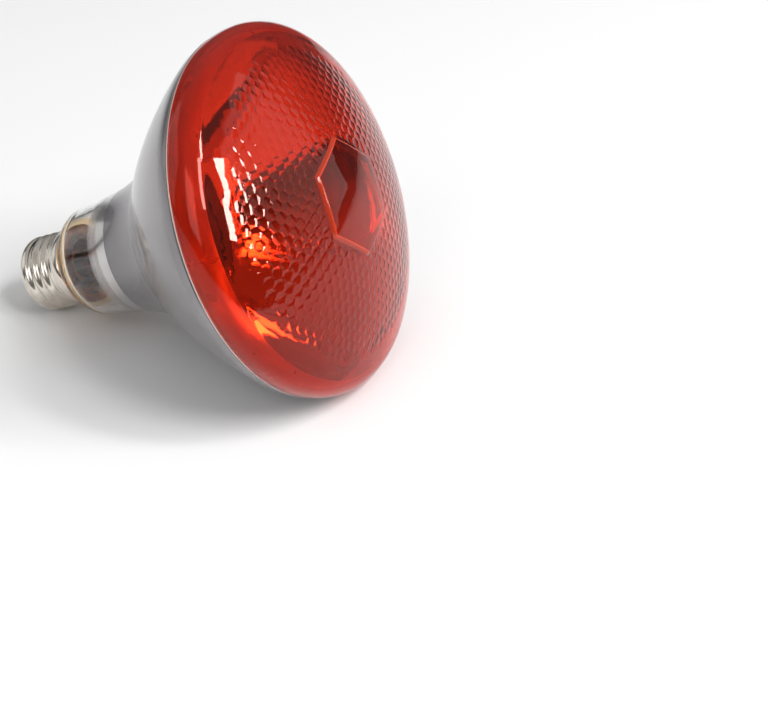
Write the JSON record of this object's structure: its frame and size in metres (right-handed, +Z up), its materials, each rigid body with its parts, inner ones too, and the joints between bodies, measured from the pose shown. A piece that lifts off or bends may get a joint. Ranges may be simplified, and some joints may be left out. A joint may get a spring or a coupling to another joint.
{
  "type": "infrared heat lamp bulb",
  "caption": "Infrared heat lamp bulb with a red pressed glass front, a reflector bowl silvered inside, a clear neck and a screw cap.",
  "frame": {"origin": "on the table, below the middle of the lamp as it lies on its cap and bowl", "axes": "+Z up, +X level, towards the side that the red front faces; the lamp axis rises from the cap to the front in the XZ plane"},
  "size_m": [0.1366, 0.121, 0.1124],
  "materials": {
    "ruby_glass": "clear, deep red",
    "silvered_glass": "clear glass, aluminised inside",
    "nickel_plate": "nickel-plated brass sheet",
    "black_glass": "glossy",
    "contact_brass": "stamped",
    "solder": "dull solder",
    "cement": "baked amber cement",
    "clear_glass": "clear",
    "copper_wire": "drawn copper",
    "nickel_wire": "drawn nickel",
    "support_metal": "drawn molybdenum",
    "tungsten": "coiled wire",
    "shield_plate": "bright sheet"
  },
  "bodies": {
    "root": {"front_lens": "ruby_glass", "reflector_bulb": "silvered_glass", "cap_shell": "nickel_plate", "cap_insulator": "black_glass", "centre_contact": "contact_brass", "contact_solder": "solder", "rim_solder": "solder", "basing_cement": "cement", "stem": "clear_glass", "exhaust_tube": "clear_glass", "contact_wire": "copper_wire", "rim_wire": "copper_wire", "lead_left": "nickel_wire", "lead_right": "nickel_wire", "support_rod": "clear_glass", "filament": "tungsten", "heat_shield": "shield_plate", "shield_clip_left": "nickel_wire", "shield_clip_right": "nickel_wire", "support_wire_1": "support_metal", "support_wire_2": "support_metal", "support_wire_3": "support_metal"}
  },
  "joints": []
}
